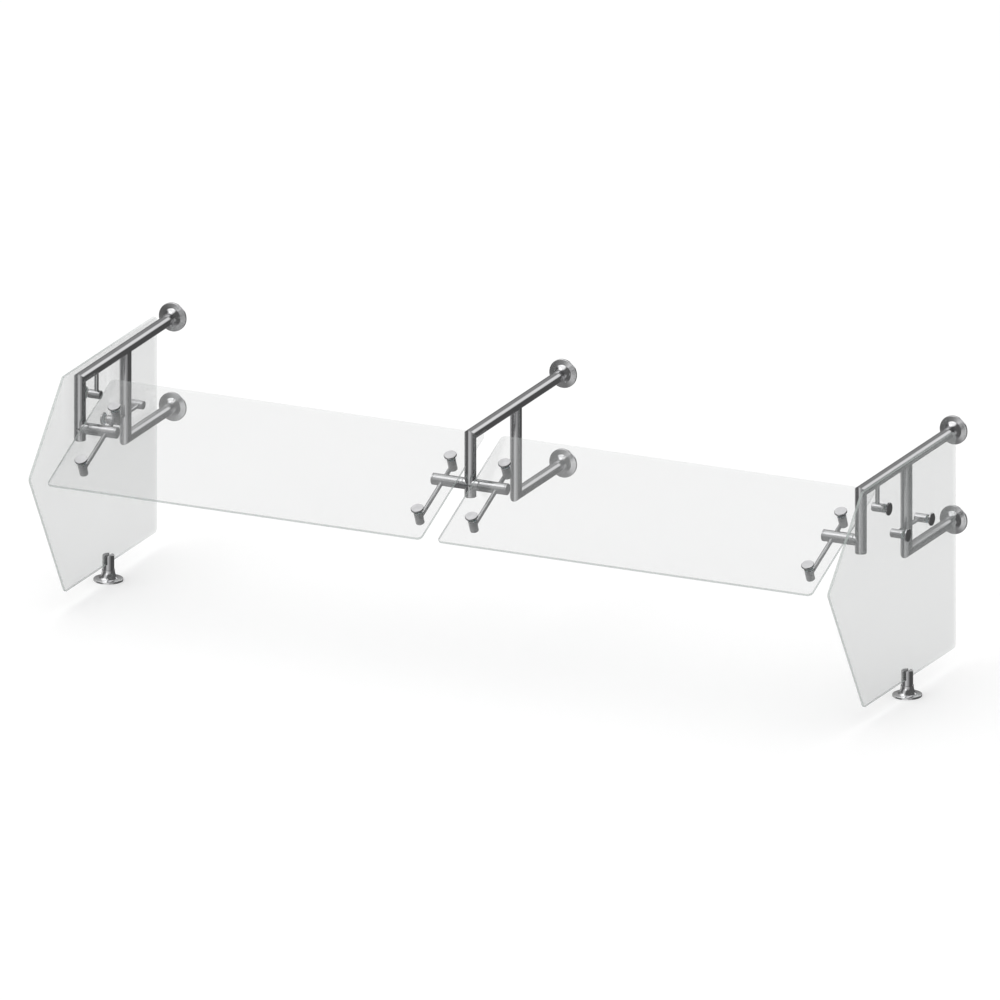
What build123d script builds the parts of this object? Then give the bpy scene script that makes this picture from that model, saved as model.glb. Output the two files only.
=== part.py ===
"""Two-bay wall-mounted glass food shield on three stainless tube brackets.

The origin is the centre of the middle bracket's upper wall plate, on the wall.
+X runs to the right along the shields, +Y into the wall and +Z up. Units are millimetres.
"""

import math
import os

from build123d import *

os.makedirs("parts", exist_ok=True)

# ---------------------------------------------------------------- driving dimensions
INCH = 25.4
FIT = 0.05  # radial clearance of a shaft in its own hole
GAP = 0.3  # room between surfaces that slide or turn past each other

# tube brackets, one at each end of a bay
BAY = 36 * INCH
TUBE_R = 0.5 * INCH
TUBE_WALL = 1.65
TUBE_BORE_R = TUBE_R - TUBE_WALL
RAIL_REACH = 18.375 * INCH  # wall to the axis of the front post
MID_POST_SETBACK = 9 * INCH  # front post axis to mid post axis
LOWER_RAIL_DROP = 200.0
FRONT_POST_DROP = 137.5
PLUG_HEAD = 3.0
PLUG_SPIGOT = 9.0

# wall plates, foot plates and the covers over them
PLATE_R = 29.5
PLATE_T = 3.0
SCREW_CIRCLE = 44.0
SCREW_COUNT = 3
SCREW_HOLE_R = 3.25
SPIGOT_LENGTH = 22.0
COVER_R = 1.25 * INCH
COVER_DEPTH = 24.0
COVER_SHELL = 1.15
COVER_RIM = 3.4  # height of the straight rim
COVER_RIM_ROUND = 1.0
COVER_DOME_R = 20.0  # where the low dome meets the flared neck
COVER_DOME_RISE = 2.4
COVER_FLARE = (15.8, 12.6)  # radius and height half way up the flare
COVER_FLARE_OUT = (0.87, 0.5)  # direction square to the flare there
COVER_NECK_R = TUBE_R + 1.4
COVER_BORE_R = TUBE_R + GAP
COVER_BORE_DEPTH = 2.0

# grub screws
GRUB_R = 3.0
GRUB_LENGTH = 6.0
GRUB_SOCKET = 3.0  # across the flats
GRUB_SOCKET_DEPTH = 2.5
GRUB_SETBACK = 12.0  # wall to the screw that locks a rail

# pivots under the shields
PIVOT_DROP = 4.3125 * INCH
PIN_R = 8.0
AXLE_HEEL = 6.0  # how far an axle reaches past the post's own axis
SHOULDER_REACH = 22.0  # bracket plane to the face that the swivel bar turns on
PIN_REACH = 54.0
PIN_END_ROOM = 2.0
GROOVE_AT = 40.0
GROOVE_WIDTH = 7.0
GROOVE_DEPTH = 1.0
BAR_REACH = 84.0
BAR_CAP_T = 4.0
BAR_CAP_STUD = 15.0
ARM_AT = 2.5 * INCH  # bracket plane to arm rod

# rods and point fixings
ROD_R = 4.75
ROD_END = 6.0  # how far a rod runs past its last fixing's axis
HANGER_SEAT = 3.0  # how far a hanger rod reaches up into its rail's underside
BODY_R = 9.5
BODY_TAIL = 11.0  # rod axis to the free end of a fixing body
STUD_R = 4.0
STUD_END = 6.2  # rod axis to the tip of a cap's stud
STUD_TIP_ROOM = 0.5
WASHER_T = 0.8
SLEEVE_R = 6.8
CAP_R = 14.0
CAP_T = 4.5
CAP_WASHER_R = 11.5

# eased edges of metal pieces
EASED_PLATE = 0.5
EASED_BAR = 0.6
EASED_TURNED = 0.8
EASED_CAP = 0.9

# glass
GLASS_T = 6.0
GLASS_HOLE_R = 7.0
GLASS_ARRIS = 0.6
CORNER_R = 11.0
SHIELD_SLOPE = 23.0  # degrees, front edge low
SHIELD_UNDERSIDE = 19.0  # pivot axis to the underside of the glass
SHIELD_FRONT = 8.5625 * INCH  # pivot axis to the front edge, along the slope
SHIELD_DEPTH = 14 * INCH
SHIELD_SIDE_GAP = 0.75 * INCH  # bracket plane to the side edge
ARM_FRONT = 130.0  # pivot axis to the front fixing, along the slope
ARM_REAR = 50.0
END_INNER_FACE = 18.0  # bracket plane to the inner face of an end glass
COUNTER_DROP = 20 * INCH
END_BOTTOM_DROP = COUNTER_DROP - 1.5 * INCH

# feet on the counter
FOOT_SETBACK = 187.5  # front post axis to foot axis
FOOT_HEIGHT = 57.0
LINER_T = 0.6
LINER_FLOOR = 1.0

# ---------------------------------------------------------------- places worked out
FRONT_Y = -RAIL_REACH
MID_Y = FRONT_Y + MID_POST_SETBACK
PIVOT_Z = -PIVOT_DROP
COUNTER_Z = -COUNTER_DROP
BRACKETS = {"left": -BAY, "middle": 0.0, "right": BAY}
INBOARD = {"left": (1,), "middle": (-1, 1), "right": (-1,)}
ENDS = {"left": -1, "right": 1}
SLOPE = math.radians(SHIELD_SLOPE)
ALONG_SLOPE = (0, math.cos(SLOPE), math.sin(SLOPE))
OFF_GLASS = (0, -math.sin(SLOPE), math.cos(SLOPE))
SHIELD_WIDTH = BAY - 2 * SHIELD_SIDE_GAP
SHIELD_FIXINGS = [
    (across * (BAY / 2 - ARM_AT), along)
    for across in (-1, 1)
    for along in (-ARM_FRONT, ARM_REAR)
]

# end panel outline and fixings as (y, z), from the front post axis and the rail axis
END_OUTLINE = [
    (-40.0, TUBE_R),
    (425.0, TUBE_R),
    (425.0, -END_BOTTOM_DROP),
    (-32.0, -END_BOTTOM_DROP),
    (-210.0, -168.0),
]
REAR_ROD_DROP = 5.75 * INCH
HANGER_FIXING = (83.0, -60.0)
REAR_ROD_FIXINGS = [(177.0, -REAR_ROD_DROP), (297.0, -REAR_ROD_DROP)]
END_FIXINGS = [HANGER_FIXING] + REAR_ROD_FIXINGS


def save(part, name):
    """Label a finished piece and write its STEP file."""
    part.label = name
    export_step(part, f"parts/{name}.step")


def wall_plane(x, z, depth=0.0):
    """Plane parallel to the wall, depth out from it, facing the room."""
    return Plane(origin=(x, -depth, z), x_dir=(1, 0, 0), z_dir=(0, -1, 0))


def cross_plane(x, sign, offset=0.0):
    """Plane across the pivot axis, offset from a bracket plane and facing sign along X."""
    return Plane(
        origin=(x + sign * offset, FRONT_Y, PIVOT_Z), x_dir=(0, 1, 0), z_dir=(sign, 0, 0)
    )


def slope_plane(x, height=0.0):
    """Plane parallel to the shield glass, height above the pivot axis."""
    return Plane(origin=(x, FRONT_Y, PIVOT_Z), x_dir=(1, 0, 0), z_dir=OFF_GLASS).offset(height)


def arm_plane(x, along):
    """Plane across an arm rod, at a distance up the slope from the pivot axis."""
    return Plane(origin=(x, FRONT_Y, PIVOT_Z), x_dir=(1, 0, 0), z_dir=ALONG_SLOPE).offset(along)


def end_plane(sign, offset):
    """Plane of an end panel, offset outwards from its bracket plane."""
    return Plane(origin=(sign * (BAY + offset), 0, 0), x_dir=(0, sign, 0), z_dir=(sign, 0, 0))


def on_end_plane(sign, points):
    """Turn (y, z) from the front post and rail axes into points of an end plane."""
    return [(sign * (FRONT_Y + y), z) for y, z in points]


def rods(plane, centres, radius, length, mode=Mode.ADD):
    """Add or cut round bars that start on a plane, in the part being built."""
    with BuildSketch(plane) as ends:
        with Locations(*centres):
            Circle(radius)
    extrude(ends.sketch, amount=length, mode=mode)


# ---------------------------------------------------------------- tube brackets
def grub_hole(x, z):
    """Cut the hole for the screw that locks a rail on its spigot, from below."""
    top = z - TUBE_R + GRUB_LENGTH + 2 * GAP
    inside = Plane(origin=(x, -GRUB_SETBACK, top), x_dir=(1, 0, 0), z_dir=(0, 0, -1))
    rods(inside, [(0, 0)], GRUB_R + FIT, TUBE_R, mode=Mode.SUBTRACT)


def upper_rail(side, x):
    with BuildPart() as rail:
        with BuildSketch(wall_plane(x, 0, PLATE_T)):
            Circle(TUBE_R)
            Circle(TUBE_BORE_R, mode=Mode.SUBTRACT)
        extrude(amount=RAIL_REACH + TUBE_R - PLATE_T)
        split(bisect_by=Plane(origin=(x, FRONT_Y, 0), z_dir=(0, 1, 1)), keep=Keep.TOP)
        grub_hole(x, 0)
        if side in ENDS:
            rods(hanger_start(x), [(0, 0)], ROD_R + FIT, TUBE_R, mode=Mode.SUBTRACT)
    save(rail.part, f"{side}_upper_rail")


def lower_rail(side, x):
    with BuildPart() as rail:
        with BuildSketch(wall_plane(x, -LOWER_RAIL_DROP, PLATE_T)):
            Circle(TUBE_R)
            Circle(TUBE_BORE_R, mode=Mode.SUBTRACT)
        extrude(amount=TUBE_R - MID_Y - PLATE_T)
        mitre = Plane(origin=(x, MID_Y, -LOWER_RAIL_DROP), z_dir=(0, 1, -1))
        split(bisect_by=mitre, keep=Keep.TOP)
        grub_hole(x, -LOWER_RAIL_DROP)
    save(rail.part, f"{side}_lower_rail")


def front_post(side, x):
    with BuildPart() as post:
        with BuildSketch(Plane(origin=(x, FRONT_Y, PLUG_HEAD - FRONT_POST_DROP))):
            Circle(TUBE_R)
            Circle(TUBE_BORE_R, mode=Mode.SUBTRACT)
        extrude(amount=FRONT_POST_DROP + TUBE_R - PLUG_HEAD)
        split(bisect_by=Plane(origin=(x, FRONT_Y, 0), z_dir=(0, 1, 1)), keep=Keep.BOTTOM)
        for sign in INBOARD[side]:
            rods(cross_plane(x, sign), [(0, 0)], PIN_R + FIT, 2 * TUBE_R, mode=Mode.SUBTRACT)
    save(post.part, f"{side}_front_post")


def mid_post(side, x):
    foot = -LOWER_RAIL_DROP - TUBE_R
    with BuildPart() as post:
        with BuildSketch(Plane(origin=(x, MID_Y, foot))):
            Circle(TUBE_R)
            Circle(TUBE_BORE_R, mode=Mode.SUBTRACT)
        extrude(amount=-foot)
        mitre = Plane(origin=(x, MID_Y, -LOWER_RAIL_DROP), z_dir=(0, 1, -1))
        split(bisect_by=mitre, keep=Keep.BOTTOM)
        under_rail = wall_plane(x, 0, -MID_Y - 2 * TUBE_R)
        rods(under_rail, [(0, 0)], TUBE_R + FIT, 4 * TUBE_R, mode=Mode.SUBTRACT)
        if side in ENDS:
            behind = wall_plane(x, -REAR_ROD_DROP, -MID_Y - 2 * TUBE_R)
            rods(behind, [(0, 0)], ROD_R + FIT, 4 * TUBE_R, mode=Mode.SUBTRACT)
    save(post.part, f"{side}_mid_post")


def post_end_plugs():
    """Turned plugs pushed into the bottoms of the three front posts."""
    centres = [(x, FRONT_Y) for x in BRACKETS.values()]
    head = Plane.XY.offset(-FRONT_POST_DROP)
    with BuildPart() as plugs:
        rods(head, centres, TUBE_R, PLUG_HEAD)
        chamfer(plugs.edges().group_by(Axis.Z)[0], EASED_TURNED)
        rods(head.offset(PLUG_HEAD), centres, TUBE_BORE_R - FIT, PLUG_SPIGOT)
    save(plugs.part, "post_end_plugs")


def screw_holes(plane, centre):
    """Cut a plate's screw holes, the first one straight up the plane's own Y."""
    with BuildSketch(plane) as holes:
        with Locations(centre):
            with PolarLocations(SCREW_CIRCLE / 2, SCREW_COUNT, start_angle=90):
                Circle(SCREW_HOLE_R)
    extrude(holes.sketch, amount=PLATE_T, mode=Mode.SUBTRACT)


def wall_plates(side, x):
    """The two plates of one bracket, each with a spigot for its rail."""
    heights = [0.0, -LOWER_RAIL_DROP]
    with BuildPart() as plates:
        rods(wall_plane(x, 0), [(0, z) for z in heights], PLATE_R, PLATE_T)
        chamfer(plates.edges().group_by(Axis.Y)[0], EASED_PLATE)
        for z in heights:
            screw_holes(wall_plane(x, 0), (0, z))
            rods(wall_plane(x, z, PLATE_T), [(0, 0)], TUBE_BORE_R - FIT, SPIGOT_LENGTH)
            grub_hole(x, z)
    save(plates.part, f"{side}_wall_plates")


def grub_socket(head):
    """Cut the hexagon socket in a grub screw's outer end."""
    with BuildSketch(head) as socket:
        RegularPolygon(GRUB_SOCKET / 2, 6, major_radius=False)
    extrude(socket.sketch, amount=GRUB_SOCKET_DEPTH, mode=Mode.SUBTRACT)


def rail_grub_screws():
    """One cup-point screw up through each rail into its spigot."""
    centres = [(x, z) for x in BRACKETS.values() for z in (0.0, -LOWER_RAIL_DROP)]
    with BuildPart() as screws:
        for x, z in centres:
            head = Plane(origin=(x, -GRUB_SETBACK, z - TUBE_R + GAP), z_dir=(0, 0, 1))
            rods(head, [(0, 0)], GRUB_R, GRUB_LENGTH)
            grub_socket(head)
    save(screws.part, "rail_grub_screws")


def cover_profile():
    """Half section of a cover as (radius, height): a rim, a low dome and a flared neck."""
    rim_top = (COVER_R, COVER_RIM)
    dome_edge = (COVER_R - COVER_RIM_ROUND, COVER_RIM + COVER_RIM_ROUND)
    dome_top = (COVER_DOME_R, COVER_RIM + COVER_DOME_RISE)
    inwards = (-COVER_SHELL * COVER_FLARE_OUT[0], -COVER_SHELL * COVER_FLARE_OUT[1])
    flare_inside = (COVER_FLARE[0] + inwards[0], COVER_FLARE[1] + inwards[1])
    dome_inside = (dome_top[0] + inwards[0], dome_top[1] - COVER_SHELL)
    rim_inside = COVER_R - COVER_SHELL
    bore_end = (COVER_BORE_R, COVER_DEPTH - COVER_BORE_DEPTH)
    with BuildLine() as outline:
        Polyline((rim_inside, 0), (COVER_R, 0), rim_top)
        RadiusArc(rim_top, dome_edge, -COVER_RIM_ROUND)
        Line(dome_edge, dome_top)
        ThreePointArc(dome_top, COVER_FLARE, (COVER_NECK_R, COVER_DEPTH))
        Polyline((COVER_NECK_R, COVER_DEPTH), (COVER_BORE_R, COVER_DEPTH), bore_end)
        ThreePointArc(bore_end, flare_inside, dome_inside)
        Polyline(dome_inside, (rim_inside, COVER_RIM), (rim_inside, 0))
    return outline.line


def cover(name, base, axis):
    """A spun cover that stands on a base plane and slides along its tube."""
    profile = cover_profile()
    with BuildPart() as shell:
        with BuildSketch(base):
            with BuildLine():
                add(profile)
            make_face()
        revolve(axis=axis)
    save(shell.part, name)


def wall_covers(side, x):
    for level, z in (("upper", 0.0), ("lower", -LOWER_RAIL_DROP)):
        base = Plane(origin=(x, 0, z), x_dir=(1, 0, 0), z_dir=(0, 0, -1))
        cover(f"{side}_{level}_wall_cover", base, Axis((x, 0, z), (0, -1, 0)))


# ---------------------------------------------------------------- pivots and shields
def pivot_axle(side, x):
    """Axle through the front post, with a coped shoulder and a grooved pin on each live side."""
    with BuildPart() as axle:
        for sign in INBOARD[side]:
            rods(cross_plane(x, sign), [(0, 0)], TUBE_R, SHOULDER_REACH)
        post = Plane(origin=(x, FRONT_Y, PIVOT_Z - 2 * TUBE_R))
        rods(post, [(0, 0)], TUBE_R + FIT, 4 * TUBE_R, mode=Mode.SUBTRACT)
        for sign in INBOARD[side]:
            rods(cross_plane(x, sign, -AXLE_HEEL), [(0, 0)], PIN_R, PIN_REACH + AXLE_HEEL)
            with BuildSketch(cross_plane(x, sign, GROOVE_AT - GROOVE_WIDTH / 2)) as groove:
                Circle(PIN_R + 1)
                Circle(PIN_R - GROOVE_DEPTH, mode=Mode.SUBTRACT)
            extrude(groove.sketch, amount=GROOVE_WIDTH, mode=Mode.SUBTRACT)
    save(axle.part, f"{side}_pivot_axle")


def swivel_bar(name, x, sign):
    """A bar that turns on a pivot pin and carries an arm rod across its outer end."""
    inner = SHOULDER_REACH + GAP
    with BuildPart() as bar:
        rods(cross_plane(x, sign, inner), [(0, 0)], TUBE_R, BAR_REACH - inner)
        chamfer(bar.edges().filter_by(GeomType.CIRCLE), EASED_BAR)
        bore = PIN_REACH + PIN_END_ROOM - inner
        rods(cross_plane(x, sign, inner), [(0, 0)], PIN_R + FIT, bore, mode=Mode.SUBTRACT)
        across = arm_plane(x + sign * ARM_AT, -2 * TUBE_R)
        rods(across, [(0, 0)], ROD_R + FIT, 4 * TUBE_R, mode=Mode.SUBTRACT)
        stud_hole = BAR_CAP_STUD + STUD_TIP_ROOM
        outer_end = cross_plane(x, -sign, -BAR_REACH)
        rods(outer_end, [(0, 0)], STUD_R + FIT, stud_hole, mode=Mode.SUBTRACT)
        below = slope_plane(x + sign * GROOVE_AT, -2 * TUBE_R)
        rods(below, [(0, 0)], GRUB_R + FIT, 2 * TUBE_R, mode=Mode.SUBTRACT)
    save(bar.part, name)


def bar_caps(name, ends):
    """Caps on the bar ends, whose studs clamp the arm rods."""
    with BuildPart() as caps:
        for x, sign in ends:
            rods(cross_plane(x, sign, BAR_REACH), [(0, 0)], TUBE_R, BAR_CAP_T)
        chamfer(caps.edges().filter_by(GeomType.CIRCLE), EASED_BAR)
        for x, sign in ends:
            rods(cross_plane(x, -sign, -BAR_REACH), [(0, 0)], STUD_R, BAR_CAP_STUD)
    save(caps.part, name)


def bar_grub_screws(name, ends):
    """Dog-point screws from below, whose points ride in the pins' grooves."""
    length = TUBE_R - PIN_R - 3 * GAP
    with BuildPart() as screws:
        for x, sign in ends:
            head = slope_plane(x + sign * GROOVE_AT, GAP - TUBE_R)
            rods(head, [(0, 0)], GRUB_R, length)
            rods(head, [(0, 0)], GRUB_R - 1, length + GAP + GROOVE_DEPTH)
            grub_socket(head)
    save(screws.part, name)


ARM_LENGTH = ARM_FRONT + ARM_REAR + 2 * ROD_END


def shield_arms(name, ends):
    """The arm rods, from inside the front fixing to inside the rear one."""
    with BuildPart() as arms:
        for x, sign in ends:
            start = arm_plane(x + sign * ARM_AT, -ARM_FRONT - ROD_END)
            rods(start, [(0, 0)], ROD_R, ARM_LENGTH)
    save(arms.part, name)


def fixing_bodies(name, rod_plane, centres, underside, cross_holes):
    """Standoff bodies, tapped for the cap studs and drilled across for their rods."""
    top = underside - WASHER_T
    with BuildPart() as bodies:
        rods(rod_plane.offset(-BODY_TAIL), centres, BODY_R, BODY_TAIL + top)
        chamfer(bodies.edges().filter_by(GeomType.CIRCLE), EASED_TURNED)
        tapped = rod_plane.offset(STUD_END - STUD_TIP_ROOM)
        rods(tapped, centres, STUD_R + FIT, top, mode=Mode.SUBTRACT)
        for start, length in cross_holes:
            rods(start, [(0, 0)], ROD_R + FIT, length, mode=Mode.SUBTRACT)
    save(bodies.part, name)


def fixing_caps(name, rod_plane, centres, underside):
    """Round caps with studs down through the glass into the bodies."""
    seat = underside + GLASS_T + WASHER_T
    with BuildPart() as caps:
        rods(rod_plane.offset(seat), centres, CAP_R, CAP_T)
        chamfer(caps.edges().filter_by(GeomType.CIRCLE), EASED_CAP)
        rods(rod_plane.offset(STUD_END), centres, STUD_R, seat - STUD_END)
    save(caps.part, name)


def washers(plane, centres, radius, thickness):
    """Add rings that are free of the cap studs, in the part being built."""
    with BuildSketch(plane) as rings:
        with Locations(*centres):
            Circle(radius)
            Circle(STUD_R + 2 * FIT, mode=Mode.SUBTRACT)
    extrude(rings.sketch, amount=thickness)


def fixing_bushes(name, fixings):
    """Flanged bushes in the glass holes and washers under the caps."""
    with BuildPart() as bushes:
        for rod_plane, centres, underside in fixings:
            washers(rod_plane.offset(underside - WASHER_T), centres, BODY_R, WASHER_T)
            washers(rod_plane.offset(underside), centres, SLEEVE_R, GLASS_T - 2 * FIT)
            washers(rod_plane.offset(underside + GLASS_T), centres, CAP_WASHER_R, WASHER_T)
    save(bushes.part, name)


def broad_outlines(glass):
    """The outer edges of a panel's two broad faces."""
    broad = glass.faces().sort_by(SortBy.AREA)[-2:]
    return broad[0].outer_wire().edges() + broad[1].outer_wire().edges()


def shield_glass(name, centre_x):
    mid_depth = SHIELD_DEPTH / 2 - SHIELD_FRONT
    with BuildPart() as glass:
        with BuildSketch(slope_plane(centre_x, SHIELD_UNDERSIDE)):
            with Locations((0, mid_depth)):
                RectangleRounded(SHIELD_WIDTH, SHIELD_DEPTH, CORNER_R)
            with Locations(*SHIELD_FIXINGS):
                Circle(GLASS_HOLE_R, mode=Mode.SUBTRACT)
        extrude(amount=GLASS_T)
        chamfer(broad_outlines(glass), GLASS_ARRIS)
    save(glass.part, name)


def shield(name, left_x):
    """One shield with its bars, arms and fixings, between two brackets."""
    centre_x = left_x + BAY / 2
    ends = [(left_x, 1), (left_x + BAY, -1)]
    base = slope_plane(centre_x)
    arm_holes = [
        (arm_plane(x + sign * ARM_AT, -ARM_FRONT - ROD_END - GAP), ARM_LENGTH + 2 * GAP)
        for x, sign in ends
    ]
    shield_glass(f"{name}_glass", centre_x)
    swivel_bar(f"{name}_left_bar", *ends[0])
    swivel_bar(f"{name}_right_bar", *ends[1])
    bar_caps(f"{name}_bar_caps", ends)
    bar_grub_screws(f"{name}_grub_screws", ends)
    shield_arms(f"{name}_arms", ends)
    fixing_bodies(f"{name}_fixing_bodies", base, SHIELD_FIXINGS, SHIELD_UNDERSIDE, arm_holes)
    fixing_caps(f"{name}_fixing_caps", base, SHIELD_FIXINGS, SHIELD_UNDERSIDE)
    fixing_bushes(f"{name}_fixing_bushes", [(base, SHIELD_FIXINGS, SHIELD_UNDERSIDE)])


# ---------------------------------------------------------------- end panels
def end_glass(side, sign):
    with BuildPart() as glass:
        with BuildSketch(end_plane(sign, END_INNER_FACE)) as outline:
            with BuildLine():
                Polyline(*on_end_plane(sign, END_OUTLINE), close=True)
            make_face()
            fillet(outline.vertices(), CORNER_R)
            with Locations(*on_end_plane(sign, END_FIXINGS)):
                Circle(GLASS_HOLE_R, mode=Mode.SUBTRACT)
        extrude(amount=GLASS_T)
        chamfer(broad_outlines(glass), GLASS_ARRIS)
    save(glass.part, f"{side}_end_glass")


def hanger_start(x):
    """Plane inside the upper rail where a hanger rod begins, facing down."""
    return Plane(origin=(x, FRONT_Y + HANGER_FIXING[0], HANGER_SEAT - TUBE_R), z_dir=(0, 0, -1))


def rear_rod_start(x, overrun=0.0):
    """Plane where a rear rod begins, inside its rear fixing, facing the room."""
    end_y = FRONT_Y + REAR_ROD_FIXINGS[1][0] + ROD_END + overrun
    return wall_plane(x, -REAR_ROD_DROP, -end_y)


HANGER_LENGTH = HANGER_SEAT - TUBE_R - HANGER_FIXING[1] + ROD_END
REAR_ROD_LENGTH = REAR_ROD_FIXINGS[1][0] - REAR_ROD_FIXINGS[0][0] + 2 * ROD_END


def end_fixings(side, sign):
    """Fixing bodies and caps of one end panel, drilled for the hanger and the rear rod."""
    x = BRACKETS[side]
    centres = on_end_plane(sign, END_FIXINGS)
    cross_holes = [
        (hanger_start(x), HANGER_LENGTH + GAP),
        (rear_rod_start(x, GAP), REAR_ROD_LENGTH + 2 * GAP),
    ]
    base = end_plane(sign, 0)
    fixing_bodies(f"{side}_end_fixing_bodies", base, centres, END_INNER_FACE, cross_holes)
    fixing_caps(f"{side}_end_fixing_caps", base, centres, END_INNER_FACE)


def end_rods():
    """The hanger rods under the upper rails and the rear rods through the mid posts."""
    with BuildPart() as hangers:
        for side in ENDS:
            rods(hanger_start(BRACKETS[side]), [(0, 0)], ROD_R, HANGER_LENGTH)
    save(hangers.part, "hanger_rods")
    with BuildPart() as rear:
        for side in ENDS:
            rods(rear_rod_start(BRACKETS[side]), [(0, 0)], ROD_R, REAR_ROD_LENGTH)
    save(rear.part, "rear_rods")


# ---------------------------------------------------------------- feet
def foot_centre(sign):
    return (sign * (BAY + END_INNER_FACE + GLASS_T / 2), FRONT_Y + FOOT_SETBACK)


SLOT_FLOOR = COUNTER_DROP - END_BOTTOM_DROP - LINER_FLOOR  # above the counter


def foot_post(side, sign):
    x, y = foot_centre(sign)
    with BuildPart() as post:
        with BuildSketch(Plane(origin=(x, y, COUNTER_Z + PLATE_T))):
            Circle(TUBE_R)
        extrude(amount=FOOT_HEIGHT - PLATE_T)
        chamfer(post.edges().group_by(Axis.Z)[-1], EASED_TURNED)
        with BuildSketch(Plane(origin=(x, y, COUNTER_Z + SLOT_FLOOR))):
            Rectangle(GLASS_T + 2 * LINER_T, 3 * TUBE_R)
        extrude(amount=FOOT_HEIGHT, mode=Mode.SUBTRACT)
    save(post.part, f"{side}_foot_post")


def foot_plate(side, sign):
    x, y = foot_centre(sign)
    base = Plane(origin=(x, y, COUNTER_Z))
    with BuildPart() as plate:
        rods(base, [(0, 0)], PLATE_R, PLATE_T)
        chamfer(plate.edges().group_by(Axis.Z)[-1], EASED_PLATE)
        screw_holes(base, (0, 0))
    save(plate.part, f"{side}_foot_plate")


def foot_slot_liners():
    """Soft channels between the foot slots and the glass."""
    with BuildPart() as liners:
        for sign in ENDS.values():
            x, y = foot_centre(sign)
            floor = Plane(origin=(x, y, COUNTER_Z + SLOT_FLOOR))
            with BuildSketch(floor):
                Rectangle(GLASS_T + 2 * LINER_T, 2 * (TUBE_R - EASED_TURNED))
            extrude(amount=FOOT_HEIGHT - SLOT_FLOOR - EASED_TURNED)
            with BuildSketch(floor.offset(LINER_FLOOR)):
                Rectangle(GLASS_T, 3 * TUBE_R)
            extrude(amount=FOOT_HEIGHT, mode=Mode.SUBTRACT)
    save(liners.part, "foot_slot_liners")


def foot_cover(side, sign):
    x, y = foot_centre(sign)
    base = Plane(origin=(x, y, COUNTER_Z), x_dir=(1, 0, 0), z_dir=(0, -1, 0))
    cover(f"{side}_foot_cover", base, Axis((x, y, COUNTER_Z), (0, 0, 1)))


# ---------------------------------------------------------------- the whole object
for bracket_name, bracket_x in BRACKETS.items():
    upper_rail(bracket_name, bracket_x)
    front_post(bracket_name, bracket_x)
    mid_post(bracket_name, bracket_x)
    lower_rail(bracket_name, bracket_x)
    wall_plates(bracket_name, bracket_x)
    wall_covers(bracket_name, bracket_x)
    pivot_axle(bracket_name, bracket_x)
post_end_plugs()
rail_grub_screws()

shield("left_shield", BRACKETS["left"])
shield("right_shield", BRACKETS["middle"])

for end_name, end_sign in ENDS.items():
    end_glass(end_name, end_sign)
    end_fixings(end_name, end_sign)
    foot_post(end_name, end_sign)
    foot_plate(end_name, end_sign)
    foot_cover(end_name, end_sign)
end_rods()
foot_slot_liners()
fixing_bushes(
    "end_fixing_bushes",
    [(end_plane(s, 0), on_end_plane(s, END_FIXINGS), END_INNER_FACE) for s in ENDS.values()],
)
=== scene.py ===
"""Looks of the two-bay glass food shield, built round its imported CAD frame. Units are metres."""

import math

import bpy
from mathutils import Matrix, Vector


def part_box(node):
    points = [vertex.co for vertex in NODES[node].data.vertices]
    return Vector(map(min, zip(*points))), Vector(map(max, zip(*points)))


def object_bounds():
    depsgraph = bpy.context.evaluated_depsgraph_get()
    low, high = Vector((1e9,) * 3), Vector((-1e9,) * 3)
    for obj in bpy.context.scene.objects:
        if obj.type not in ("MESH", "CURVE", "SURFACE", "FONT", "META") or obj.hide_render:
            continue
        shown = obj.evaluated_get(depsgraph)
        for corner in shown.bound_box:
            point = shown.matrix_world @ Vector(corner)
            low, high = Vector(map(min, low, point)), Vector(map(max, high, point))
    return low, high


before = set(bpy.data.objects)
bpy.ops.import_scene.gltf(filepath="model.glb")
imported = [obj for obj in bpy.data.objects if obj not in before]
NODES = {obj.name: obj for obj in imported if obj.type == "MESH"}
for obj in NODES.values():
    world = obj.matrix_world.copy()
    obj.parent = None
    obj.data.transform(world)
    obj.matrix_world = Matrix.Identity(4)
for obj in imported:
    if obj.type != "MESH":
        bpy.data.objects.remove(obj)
cad_low, cad_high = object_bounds()

MM = 0.001
WHITE = (1, 1, 1, 1)
BRACKETS = ("left", "middle", "right")
ENDS = ("left", "right")
SHIELDS = ("left_shield", "right_shield")
SHIELD_SLOPE = math.radians(23)  # of both shields at rest


def centre_of(node):
    low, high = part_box(node)
    return (low + high) / 2


# ---------------------------------------------------------------- shader nodes
NOISE_LOW, NOISE_HIGH = 0.3, 0.7  # the useful middle of a noise


def feed(tree, socket, value):
    """Links an input to another node's output, or gives it a plain value."""
    if isinstance(value, bpy.types.NodeSocket):
        tree.links.new(value, socket)
    else:
        socket.default_value = value


def maths(tree, operation, *values):
    """A Math node on plain numbers and outputs."""
    node = tree.nodes.new("ShaderNodeMath")
    node.operation = operation
    for socket, value in zip(node.inputs, values):
        feed(tree, socket, value)
    return node.outputs[0]


def vector_maths(tree, operation, *values):
    """A Vector Math node on plain vectors and outputs."""
    node = tree.nodes.new("ShaderNodeVectorMath")
    node.operation = operation
    for socket, value in zip(node.inputs, values):
        feed(tree, socket, value)
    return node.outputs["Value" if operation in ("DOT_PRODUCT", "LENGTH") else "Vector"]


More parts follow.
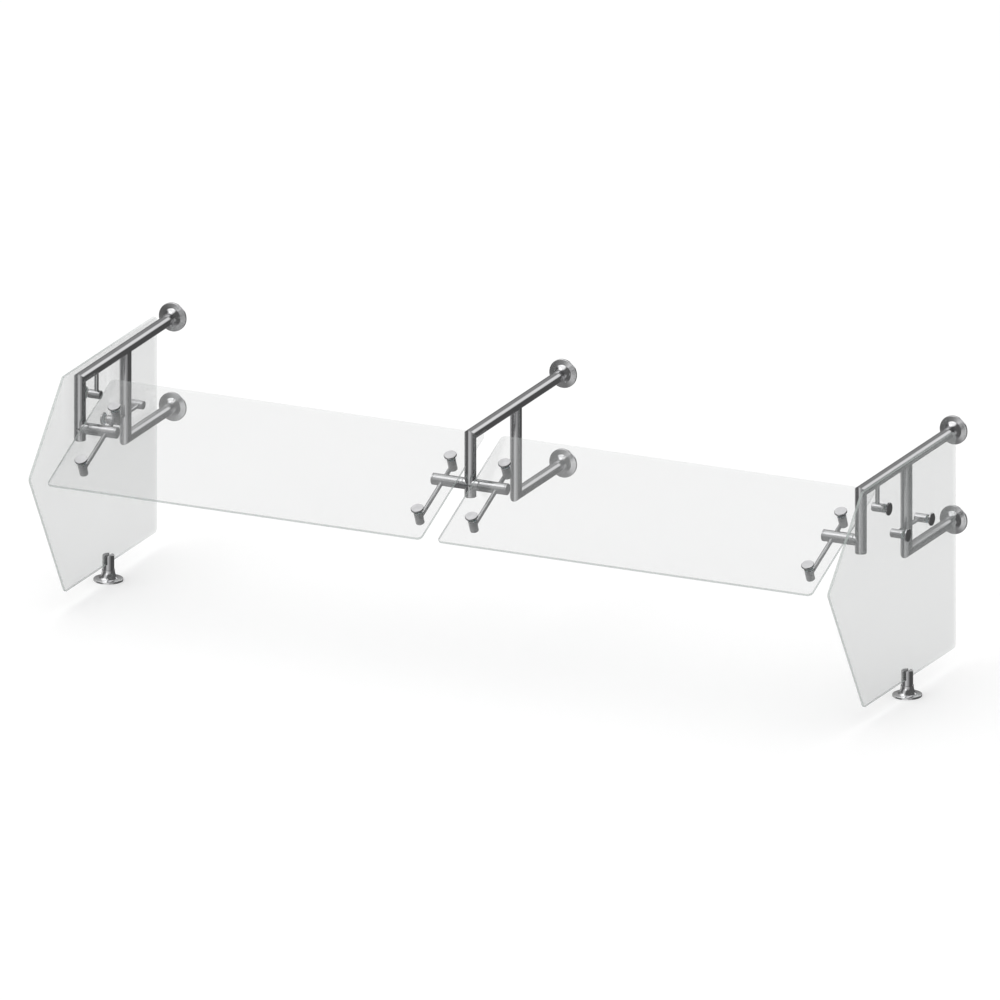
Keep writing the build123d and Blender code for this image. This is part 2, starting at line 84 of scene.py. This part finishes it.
def mapped(tree, value, start, end, low, high, interpolation="LINEAR"):
    """Maps the stretch from start to end to a range, held at its ends."""
    node = tree.nodes.new("ShaderNodeMapRange")
    node.interpolation_type = interpolation
    node.inputs["From Min"].default_value = start
    node.inputs["From Max"].default_value = end
    node.inputs["To Min"].default_value = low
    node.inputs["To Max"].default_value = high
    tree.links.new(value, node.inputs["Value"])
    return node.outputs[0]


def coordinates(tree, name):
    """A piece's own Object or Normal coordinates, which move with it, or the world's Generated."""
    return tree.nodes.new("ShaderNodeTexCoord").outputs[name]


def stretched_coordinates(tree, stretch, turn=(0, 0, 0)):
    """The piece's own coordinates at rest, stretched along X, Y and Z and then turned."""
    mapping = tree.nodes.new("ShaderNodeMapping")
    mapping.inputs["Scale"].default_value = stretch
    mapping.inputs["Rotation"].default_value = turn
    tree.links.new(coordinates(tree, "Object"), mapping.inputs["Vector"])
    return mapping.outputs["Vector"]


def noise(tree, vector, scale=1.0, detail=2.0, roughness=0.5):
    """A random field about 0.5, by place."""
    node = tree.nodes.new("ShaderNodeTexNoise")
    node.inputs["Scale"].default_value = scale
    node.inputs["Detail"].default_value = detail
    node.inputs["Roughness"].default_value = roughness
    tree.links.new(vector, node.inputs["Vector"])
    return node.outputs["Fac"]


def spread(tree, factor, low, high):
    """Maps the useful middle of a noise to a range."""
    return mapped(tree, factor, NOISE_LOW, NOISE_HIGH, low, high)


def tinted(tree, factor, first, second):
    """A colour between two, each a plain colour or an output, by a factor."""
    node = tree.nodes.new("ShaderNodeMix")
    node.data_type = "RGBA"
    for name, colour in (("A", first), ("B", second)):
        linked = isinstance(colour, bpy.types.NodeSocket)
        feed(tree, node.inputs[name], colour if linked else (*colour, 1))
    tree.links.new(factor, node.inputs["Factor"])
    return node.outputs["Result"]


def mixed(tree, factor, first, second):
    """A shader between two, by a plain factor or an output."""
    node = tree.nodes.new("ShaderNodeMixShader")
    feed(tree, node.inputs["Fac"], factor)
    tree.links.new(first, node.inputs[1])
    tree.links.new(second, node.inputs[2])
    return node.outputs[0]


def bump(tree, shader, factor, height, strength):
    """Roughens a shader's surface by a factor, up to a height in metres."""
    node = tree.nodes.new("ShaderNodeBump")
    node.inputs["Strength"].default_value = strength
    node.inputs["Distance"].default_value = height
    tree.links.new(factor, node.inputs["Height"])
    tree.links.new(node.outputs["Normal"], shader.inputs["Normal"])


def new_material(name):
    """A material with its node tree and its Principled shader."""
    material = bpy.data.materials.new(name)
    material.use_nodes = True
    tree = material.node_tree
    return material, tree, tree.nodes["Principled BSDF"]


# ---------------------------------------------------------------- camera, light and floor
VIEW_AZIMUTH = math.radians(25.04)
VIEW_ELEVATION = math.radians(18.04)
VIEW_WIDTH = 2.1218
AIM_RIGHT = 0.0628  # from the middle bracket's top front corner to the middle of the view
AIM_DOWN = 0.1381
CAMERA_DISTANCE = 6.0
CAMERA_REACH = 200  # past the floor's far edge


def corner_of_bracket(side):
    """Where the axes of a bracket's upper rail and front post meet."""
    post = centre_of(f"{side}_front_post")
    rail = centre_of(f"{side}_upper_rail")
    return Vector((post.x, post.y, rail.z))


def make_camera():
    """Looks from the front, a little from the right and from above, without perspective."""
    back = Vector((
        math.sin(VIEW_AZIMUTH) * math.cos(VIEW_ELEVATION),
        -math.cos(VIEW_AZIMUTH) * math.cos(VIEW_ELEVATION),
        math.sin(VIEW_ELEVATION),
    ))
    right = Vector((math.cos(VIEW_AZIMUTH), math.sin(VIEW_AZIMUTH), 0))
    up = back.cross(right)
    aim = corner_of_bracket("middle") + right * AIM_RIGHT - up * AIM_DOWN
    data = bpy.data.cameras.new("camera")
    data.type = "ORTHO"
    data.ortho_scale = VIEW_WIDTH
    data.clip_end = CAMERA_REACH
    camera = bpy.data.objects.new("camera", data)
    bpy.context.scene.collection.objects.link(camera)
    camera.rotation_mode = "QUATERNION"
    camera.rotation_quaternion = (-back).to_track_quat("-Z", "Y")
    camera.location = aim + back * CAMERA_DISTANCE
    bpy.context.scene.camera = camera


# softboxes of the studio as metal and glass reflect them: direction, inner and outer angle in
# degrees, and strength above the dim room
STUDIO_DIM = 0.10
SOFTBOXES = [
    ((-0.36, 0.10, 0.93), 26, 50, 0.95),  # overhead
    ((-0.40, -0.44, 0.80), 10, 28, 0.60),  # brighter front edge of the overhead one
    ((-0.40, -0.25, -0.88), 20, 58, 0.12),  # light thrown back up by the floor
    ((0.29, 0.86, 0.42), 6, 19, 0.95),  # window high behind, right of the middle
    ((-0.30, 0.80, 0.50), 8, 30, 0.22),  # its dimmer neighbour
    ((0.09, -0.95, -0.22), 12, 30, 0.60),  # fill from the front
    ((-0.06, -0.99, 0.08), 7, 19, 0.50),  # lamp at eye height
    ((0.68, -0.69, -0.26), 8, 26, 0.28),  # low fill from the front right
    ((-0.40, -0.86, 0.34), 10, 28, 0.45),  # high fill from the front left
    ((-0.93, 0.21, -0.31), 12, 30, 0.40),  # fill from the left
    ((-0.40, 0.86, -0.31), 6, 22, 0.45),  # fill from behind
]


def studio_brightness(tree):
    """Brightness of the dim room with its softboxes, by direction."""
    direction = coordinates(tree, "Generated")
    total = STUDIO_DIM
    for aim, inner, outer, strength in SOFTBOXES:
        cosine = vector_maths(tree, "DOT_PRODUCT", direction, Vector(aim).normalized())
        start, end = math.cos(math.radians(outer)), math.cos(math.radians(inner))
        glow = mapped(tree, cosine, start, end, 0, strength, interpolation="SMOOTHSTEP")
        total = maths(tree, "ADD", total, glow)
    return total


def make_world():
    """White to the eye and to soft light, and a dim studio with softboxes in reflections."""
    world = bpy.data.worlds.new("studio")
    bpy.context.scene.world = world
    world.use_nodes = True
    tree = world.node_tree
    tree.nodes.clear()
    rays = tree.nodes.new("ShaderNodeLightPath")
    strength = tree.nodes.new("ShaderNodeMix")
    tree.links.new(rays.outputs["Is Glossy Ray"], strength.inputs["Factor"])
    strength.inputs["A"].default_value = 1.0
    tree.links.new(studio_brightness(tree), strength.inputs["B"])
    light = tree.nodes.new("ShaderNodeBackground")
    light.inputs["Color"].default_value = WHITE
    tree.links.new(strength.outputs["Result"], light.inputs["Strength"])
    output = tree.nodes.new("ShaderNodeOutputWorld")
    tree.links.new(light.outputs[0], output.inputs["Surface"])
    world.cycles.sampling_method = "NONE"


LAMP_PLACE = Vector((-1.2, -1.6, 2.6))  # above and in front of the left end
LAMP_TARGET = Vector((0, -0.3, -0.2))
LAMP_WIDTH, LAMP_DEPTH = 2.4, 1.6
LAMP_WATTS = 8


def make_lamp():
    """A large soft lamp, for the faint shadows."""
    data = bpy.data.lights.new("key", "AREA")
    data.shape = "RECTANGLE"
    data.size, data.size_y = LAMP_WIDTH, LAMP_DEPTH
    data.energy = LAMP_WATTS
    lamp = bpy.data.objects.new("key", data)
    lamp.location = LAMP_PLACE
    lamp.rotation_mode = "QUATERNION"
    lamp.rotation_quaternion = (LAMP_TARGET - LAMP_PLACE).to_track_quat("-Z", "Y")
    bpy.context.scene.collection.objects.link(lamp)


FLOOR_HALF = 40.0
FLOOR_TONE = 0.9
FLOOR_ROUGHNESS = 0.9
FLOOR_GLOW = 0.12  # lifts the floor almost to the background's white


def make_floor():
    """A pale floor under the feet, out of the metal's reflections."""
    half, z = FLOOR_HALF, cad_low.z
    mesh = bpy.data.meshes.new("floor")
    corners = [(-half, -half, z), (half, -half, z), (half, half, z), (-half, half, z)]
    mesh.from_pydata(corners, [], [(0, 1, 2, 3)])
    floor = bpy.data.objects.new("floor", mesh)
    bpy.context.scene.collection.objects.link(floor)
    material, _, shader = new_material("floor_white")
    shader.inputs["Base Color"].default_value = (FLOOR_TONE, FLOOR_TONE, FLOOR_TONE, 1)
    shader.inputs["Roughness"].default_value = FLOOR_ROUGHNESS
    shader.inputs["Specular IOR Level"].default_value = 0.0
    shader.inputs["Emission Color"].default_value = WHITE
    shader.inputs["Emission Strength"].default_value = FLOOR_GLOW
    mesh.materials.append(material)
    floor.visible_glossy = False


make_camera()
make_world()
make_floor()
make_lamp()
bpy.context.scene.view_settings.view_transform = "Standard"


# ---------------------------------------------------------------- steel
ACROSS = 1 / (0.5 * MM)  # streaks half a millimetre wide
ALONG = 1 / (45 * MM)  # and 45 mm long
CLOUD_PER_STREAK = 0.02  # a brushed piece's clouds are fifty times the size of its streaks,
LONGEST_CLOUD = 150 * MM  # and at most this long
WANDER = 1 / (20 * MM)  # of a spun piece's rings
SPUN_CLOUD = (1 / (30 * MM),) * 3
TURNED_GRAIN = (1 / (0.35 * MM),) * 3
TURNED_CLOUD = (1 / (15 * MM),) * 3

STREAK_WEIGHT = 0.6  # of the fine streaks in the steel's shade
CLOUD_LOW, CLOUD_HIGH = 0.08, 0.32  # what the broad clouds add to it
DARKEST, LIGHTEST = 0.86, 1.1  # as shares of the steel's tone
SMOOTHEST, ROUGHEST = 0.75, 1.3  # as shares of its roughness
STREAK_DEPTH = 0.02 * MM
GRAIN_DEPTH = 0.008 * MM
BUMP_STRENGTH = 0.5

BRUSHED_TONE, BRUSHED_ROUGHNESS = (0.64, 0.64, 0.65), 0.13
SPUN_TONE, SPUN_ROUGHNESS = (0.87, 0.87, 0.88), 0.16
TURNED_TONE, TURNED_ROUGHNESS = (0.63, 0.63, 0.64), 0.16
HARDWARE_TONE, HARDWARE_ROUGHNESS = (0.62, 0.62, 0.63), 0.42


def steel(name, streaks, clouds, tone, roughness, depth=STREAK_DEPTH):
    """Satin stainless steel. Streaks and clouds give the coordinates of its two patterns."""
    material, tree, shader = new_material(name)
    shader.inputs["Metallic"].default_value = 1.0
    lines = noise(tree, streaks(tree), detail=3.0, roughness=0.6)
    patches = spread(tree, noise(tree, clouds(tree)), CLOUD_LOW, CLOUD_HIGH)
    shade = maths(tree, "MULTIPLY_ADD", lines, STREAK_WEIGHT, patches)
    dark = [level * DARKEST for level in tone]
    light = [min(1.0, level * LIGHTEST) for level in tone]
    colour = tinted(tree, spread(tree, shade, 0, 1), dark, light)
    tree.links.new(colour, shader.inputs["Base Color"])
    sheen = spread(tree, shade, roughness * SMOOTHEST, roughness * ROUGHEST)
    tree.links.new(sheen, shader.inputs["Roughness"])
    bump(tree, shader, lines, depth, BUMP_STRENGTH)
    return material


# how fast the streaks vary along X, Y and Z
BRUSH_STRETCHES = {
    "X": (ALONG, ACROSS, ACROSS),
    "Y": (ACROSS, ALONG, ACROSS),
    "Z": (ACROSS, ACROSS, ALONG),
}


def brushed(name, axis, turn=(0, 0, 0)):
    """Steel brushed along X, Y or Z. A turn gives it another pattern, brushed the same way."""
    streak = BRUSH_STRETCHES[axis]
    cloud = [fineness * CLOUD_PER_STREAK + 1 / LONGEST_CLOUD for fineness in streak]
    return steel(
        name,
        lambda tree: stretched_coordinates(tree, streak, turn),
        lambda tree: stretched_coordinates(tree, cloud, turn),
        BRUSHED_TONE,
        BRUSHED_ROUGHNESS,
    )


def spun(name, centre, axis):
    """Steel turned in a lathe about an axis through a centre, with rings of fine lines."""
    across_axis = {"Y": (1, 0, 1), "Z": (1, 1, 0)}[axis]

    def rings(tree):
        place = coordinates(tree, "Object")
        from_centre = vector_maths(tree, "SUBTRACT", place, centre)
        from_axis = vector_maths(tree, "MULTIPLY", from_centre, across_axis)
        radius = vector_maths(tree, "LENGTH", from_axis)
        joined = tree.nodes.new("ShaderNodeCombineXYZ")
        tree.links.new(maths(tree, "MULTIPLY", radius, ACROSS), joined.inputs["X"])
        tree.links.new(noise(tree, place, scale=WANDER, detail=1.0), joined.inputs["Y"])
        return joined.outputs[0]

    def clouds(tree):
        return stretched_coordinates(tree, SPUN_CLOUD)

    return steel(name, rings, clouds, SPUN_TONE, SPUN_ROUGHNESS)


def turned(name, tone, roughness):
    """Small turned pieces: an even satin with a fine random grain."""
    return steel(
        name,
        lambda tree: stretched_coordinates(tree, TURNED_GRAIN),
        lambda tree: stretched_coordinates(tree, TURNED_CLOUD),
        tone,
        roughness,
        depth=GRAIN_DEPTH,
    )


# ---------------------------------------------------------------- glass
GLASS_HAZE = 0.10  # share of each face that scatters light: the glass's grey
GLASS_SQUARE_ON = 0.04  # share that each face reflects when seen square on
GLASS_GRAZING_POWER = 4.4  # how late the reflection rises towards a grazing look
SMUDGE_STRETCH = (7, 11, 9)  # per metre
SMUDGE_DULL, SMUDGE_FRESH = (0.90, 0.94, 0.93), (1.08, 1.12, 1.11)  # times the haze's tone
SMUDGE_ROUGHNESS = 0.08
RIM_COSINE = 0.9  # to the sheet's own direction: a face with a smaller one is its rim
RIM_STREAKS = (160, 160, 160)  # per metre
RIM_ROUGHNESS = 0.12
REAR_RIM_BODY = 0.15  # how solid the polished rim looks at a sheet's rear end
FRONT_RIM_BODY = 0.6  # and towards its front end
RIM_RISE = 0.4  # share of the sheet's length that takes it from the one to the other
# painted light on the rim: lit colours at a sheet's rear end, painted shade in the darker colours
# towards its front
REAR_RIM_LIT_COLOURS = (0.80, 0.86, 0.84), (0.88, 0.93, 0.915)
FRONT_RIM_SHADED_COLOURS = (0.34, 0.38, 0.365), (0.42, 0.46, 0.445)


def rim_mask(tree, facing):
    """0 on a sheet's two broad faces, 1 on its polished rim and in its holes."""
    cosine = vector_maths(tree, "DOT_PRODUCT", coordinates(tree, "Normal"), facing)
    return maths(tree, "LESS_THAN", maths(tree, "ABSOLUTE", cosine), RIM_COSINE)


def rim_shade_towards_front(tree, node, forward):
    """0 at a sheet's rear end, rising to 1 at RIM_RISE of the way to its front end: how much
    painted shade the rim takes.
    """
    low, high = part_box(node)
    rear, front = high.dot(Vector(forward)), low.dot(Vector(forward))
    place = vector_maths(tree, "DOT_PRODUCT", coordinates(tree, "Object"), forward)
    return mapped(tree, place, rear, rear + RIM_RISE * (front - rear), 0, 1)


def glass_reflection(tree):
    """Share of light that a face reflects, alike from outside and from inside the sheet."""
    slant = tree.nodes.new("ShaderNodeLayerWeight")
    slant.inputs["Blend"].default_value = 0.5  # leaves Facing at one minus the cosine
    rise = maths(tree, "POWER", slant.outputs["Facing"], GLASS_GRAZING_POWER)
    return maths(tree, "MULTIPLY_ADD", rise, 1 - GLASS_SQUARE_ON, GLASS_SQUARE_ON)


def polished_rim(tree, shader, clear, front_shade_share):
    """The sheet's edge: more solid and greyer towards the front, with painted shade there and a
    painted lit look at the rear.
    """
    streaks = spread(tree, noise(tree, stretched_coordinates(tree, RIM_STREAKS), detail=3.0), 0, 1)
    lit_rear_colour = tinted(tree, streaks, *REAR_RIM_LIT_COLOURS)
    shaded_front_colour = tinted(tree, streaks, *FRONT_RIM_SHADED_COLOURS)
    colour = tinted(tree, front_shade_share, lit_rear_colour, shaded_front_colour)
    tree.links.new(colour, shader.inputs["Base Color"])
    shader.inputs["Roughness"].default_value = RIM_ROUGHNESS
    body = mapped(tree, front_shade_share, 0, 1, REAR_RIM_BODY, FRONT_RIM_BODY)
    return mixed(tree, body, clear, shader.outputs[0])


def smudged_sheet(tree, clear, haze_tone):
    """The sheet's broad faces: seen straight through, with a faint haze and a mirror's share."""
    smudges = noise(tree, stretched_coordinates(tree, SMUDGE_STRETCH), detail=5.0, roughness=0.62)
    dull = [haze_tone * level for level in SMUDGE_DULL]
    fresh = [haze_tone * level for level in SMUDGE_FRESH]
    haze = tree.nodes.new("ShaderNodeBsdfDiffuse")
    tree.links.new(tinted(tree, smudges, dull, fresh), haze.inputs["Color"])
    mirror = tree.nodes.new("ShaderNodeBsdfGlossy")
    tree.links.new(spread(tree, smudges, 0.0, SMUDGE_ROUGHNESS), mirror.inputs["Roughness"])
    through = mixed(tree, GLASS_HAZE, clear, haze.outputs[0])
    return mixed(tree, glass_reflection(tree), through, mirror.outputs[0])


def clear_glass(name, node, facing, forward, haze_tone):
    """Clear tempered glass, with broad faces towards facing, for sheets placed like the node."""
    material, tree, shader = new_material(name)
    clear = tree.nodes.new("ShaderNodeBsdfTransparent").outputs[0]
    sheet = smudged_sheet(tree, clear, haze_tone)
    rim = polished_rim(tree, shader, clear, rim_shade_towards_front(tree, node, forward))
    whole = mixed(tree, rim_mask(tree, facing), sheet, rim)
    tree.links.new(whole, tree.nodes["Material Output"].inputs["Surface"])
    return material


# ---------------------------------------------------------------- plastics
def plastic(name, grain, detail, colours, roughness, relief, strength, waxy=0.0):
    """Moulded plastic or rubber, with a fine mottle in its colour, gloss and surface."""
    material, tree, shader = new_material(name)
    mottle = noise(tree, stretched_coordinates(tree, (grain,) * 3), detail=detail)
    tree.links.new(tinted(tree, mottle, *colours), shader.inputs["Base Color"])
    tree.links.new(spread(tree, mottle, *roughness), shader.inputs["Roughness"])
    shader.inputs["Subsurface Weight"].default_value = waxy
    bump(tree, shader, mottle, relief, strength)
    return material


# ---------------------------------------------------------------- finishes of the CAD nodes
STEEL_X = brushed("steel_along_x", "X")
STEEL_Y = brushed("steel_along_y", "Y")
STEEL_Z = brushed("steel_along_z", "Z")
STEEL_ARMS = brushed("steel_arms", "Y", turn=(-SHIELD_SLOPE, 0, 0))
STEEL_TURNED = turned("steel_turned", TURNED_TONE, TURNED_ROUGHNESS)
STEEL_HARDWARE = turned("steel_hardware", HARDWARE_TONE, HARDWARE_ROUGHNESS)
SHIELD_GLASS = clear_glass(
    "shield_glass",
    "left_shield_glass",
    facing=(0, -math.sin(SHIELD_SLOPE), math.cos(SHIELD_SLOPE)),
    forward=(0, -math.cos(SHIELD_SLOPE), -math.sin(SHIELD_SLOPE)),
    haze_tone=0.37,
)
# the end panels' haze is much whiter than the shields': partly the glass's grey, partly painted
# light standing in for more light falling on them
END_GLASS = clear_glass(
    "end_glass", "left_end_glass", facing=(1, 0, 0), forward=(0, -1, 0), haze_tone=0.80
)
NYLON = plastic(
    "nylon",
    grain=600,
    detail=3.0,
    colours=((0.42, 0.43, 0.43), (0.52, 0.53, 0.53)),
    roughness=(0.35, 0.5),
    relief=0.02 * MM,
    strength=0.3,
    waxy=0.15,
)
RUBBER = plastic(
    "rubber",
    grain=900,
    detail=4.0,
    colours=((0.045, 0.047, 0.05), (0.09, 0.092, 0.095)),
    roughness=(0.55, 0.75),
    relief=0.03 * MM,
    strength=0.4,
)


def finish_node(node, material):
    """Gives a CAD node its one material."""
    mesh = NODES[node].data
    mesh.materials.clear()
    mesh.materials.append(material)


def finish_brackets():
    """The three brackets, with their axles, wall plates, covers, plugs and grub screws."""
    for side in BRACKETS:
        for node, material in (
            ("upper_rail", STEEL_Y), ("lower_rail", STEEL_Y), ("front_post", STEEL_Z),
            ("mid_post", STEEL_Z), ("wall_plates", STEEL_HARDWARE), ("pivot_axle", STEEL_X),
        ):
            finish_node(f"{side}_{node}", material)
        for level in ("upper", "lower"):
            cover = f"{side}_{level}_wall_cover"
            finish_node(cover, spun(f"spun_{cover}", centre_of(cover), "Y"))
    finish_node("post_end_plugs", STEEL_TURNED)
    finish_node("rail_grub_screws", STEEL_HARDWARE)


def finish_shields():
    """Both sloping shields, with the bars, arms and fixings that turn with them."""
    for shield in SHIELDS:
        for node, material in (
            ("glass", SHIELD_GLASS), ("left_bar", STEEL_X), ("right_bar", STEEL_X),
            ("bar_caps", STEEL_TURNED), ("grub_screws", STEEL_HARDWARE), ("arms", STEEL_ARMS),
            ("fixing_bodies", STEEL_TURNED), ("fixing_caps", STEEL_TURNED),
            ("fixing_bushes", NYLON),
        ):
            finish_node(f"{shield}_{node}", material)


def finish_ends():
    """Both end panels with their fixings, rods and feet."""
    for side in ENDS:
        for node, material in (
            ("end_glass", END_GLASS), ("end_fixing_bodies", STEEL_TURNED),
            ("end_fixing_caps", STEEL_TURNED), ("foot_post", STEEL_Z),
            ("foot_plate", STEEL_HARDWARE),
        ):
            finish_node(f"{side}_{node}", material)
        cover = f"{side}_foot_cover"
        finish_node(cover, spun(f"spun_{cover}", centre_of(cover), "Z"))
    finish_node("hanger_rods", STEEL_Z)
    finish_node("rear_rods", STEEL_Y)
    finish_node("end_fixing_bushes", NYLON)
    finish_node("foot_slot_liners", RUBBER)


finish_brackets()
finish_shields()
finish_ends()
